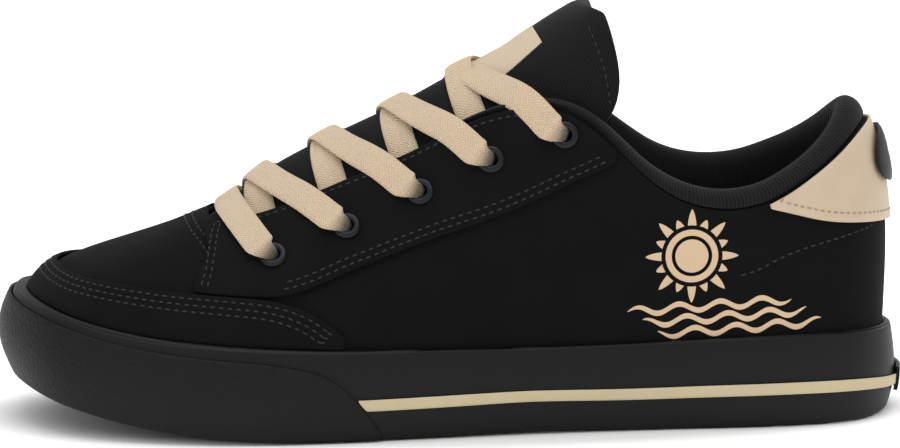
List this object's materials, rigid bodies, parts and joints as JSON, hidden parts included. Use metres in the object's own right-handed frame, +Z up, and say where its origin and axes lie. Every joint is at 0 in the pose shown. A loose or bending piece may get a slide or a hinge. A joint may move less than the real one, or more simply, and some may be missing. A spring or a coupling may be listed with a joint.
{
  "type": "skateboarding shoe",
  "caption": "Low lace-up shoe with a cupped rubber sole, textured toe bumper, suede upper, padded collar and tongue, and flat laces.",
  "frame": {"origin": "middle of the heel tread's flat spot, on the floor plane", "axes": "+X from toe to heel along the shoe's length, +Z up, -Y the outer (lateral) side of this left shoe"},
  "size_m": [0.2999, 0.1097, 0.136],
  "materials": {
    "sole_rubber": "matt, slightly worn",
    "toe_rubber": "matt, pebbled",
    "stripe_rubber": "matt",
    "black_suede": "nubuck, fine nap",
    "black_suede_overlay": "nubuck, fine nap",
    "black_textile": "fine ribbed lining",
    "tongue_textile": "ribbed weave",
    "cream_leather": "smooth, satin",
    "cream_label": "flat woven",
    "badge_rubber": "satin",
    "insole_foam": "matt textile over foam",
    "dark_metal": "dark satin",
    "cream_lace": "flat woven cotton"
  },
  "bodies": {
    "root": {"collar_padding": "black_textile", "cup_sole": "sole_rubber", "eyelet_inner_1": "dark_metal", "eyelet_inner_2": "dark_metal", "eyelet_inner_3": "dark_metal", "eyelet_inner_4": "dark_metal", "eyelet_inner_5": "dark_metal", "eyelet_outer_1": "dark_metal", "eyelet_outer_2": "dark_metal", "eyelet_outer_3": "dark_metal", "eyelet_outer_4": "dark_metal", "eyelet_outer_5": "dark_metal", "eyestay_inner": "black_suede_overlay", "eyestay_outer": "black_suede_overlay", "heel_badge": "badge_rubber", "heel_plate": "sole_rubber", "heel_tab": "cream_leather", "insole": "insole_foam", "lace_bar_1": "cream_lace", "lace_cross_1": "cream_lace", "lace_cross_2": "cream_lace", "lace_cross_3": "cream_lace", "lace_cross_4": "cream_lace", "stripe_inner": "stripe_rubber", "stripe_outer": "stripe_rubber", "toe_bumper": "toe_rubber", "toe_cap": "black_suede_overlay", "tongue": "tongue_textile", "tongue_label": "cream_label", "upper": "black_suede"}
  },
  "joints": []
}
